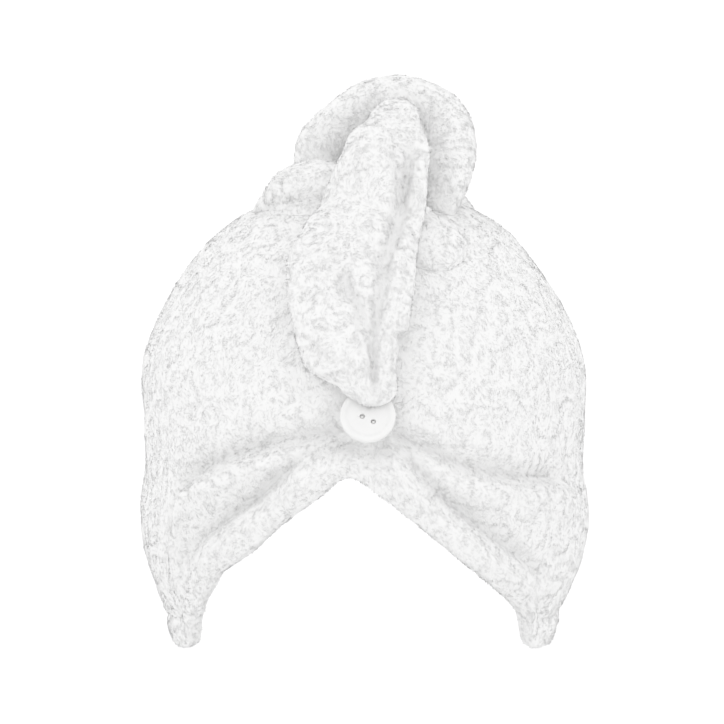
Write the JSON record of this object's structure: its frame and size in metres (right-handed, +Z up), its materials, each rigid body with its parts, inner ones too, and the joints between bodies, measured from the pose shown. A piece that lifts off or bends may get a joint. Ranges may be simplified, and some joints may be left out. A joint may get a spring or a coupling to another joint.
{
  "type": "hair turban towel",
  "caption": "Plush hair-drying hood with a twisted tail brought over the crown and held on a button at the nape by an elastic loop.",
  "frame": {"origin": "inside of the crown, where the top of the wearer's head meets the cloth", "axes": "+Z up out of the crown, +Y towards the wearer's face, -Y towards the button at the nape, +X to the right seen from the button side"},
  "size_m": [0.2154, 0.2499, 0.2729],
  "materials": {
    "plush": "white microfibre plush with a short curly pile",
    "button_plastic": "smooth off-white plastic, softly glossy",
    "sewing_thread": "white polyester thread",
    "elastic": "white covered elastic cord"
  },
  "bodies": {
    "root": {"hood": "plush", "tail": "plush", "button": "button_plastic", "button_thread": "sewing_thread", "elastic_loop": "elastic"}
  },
  "joints": []
}
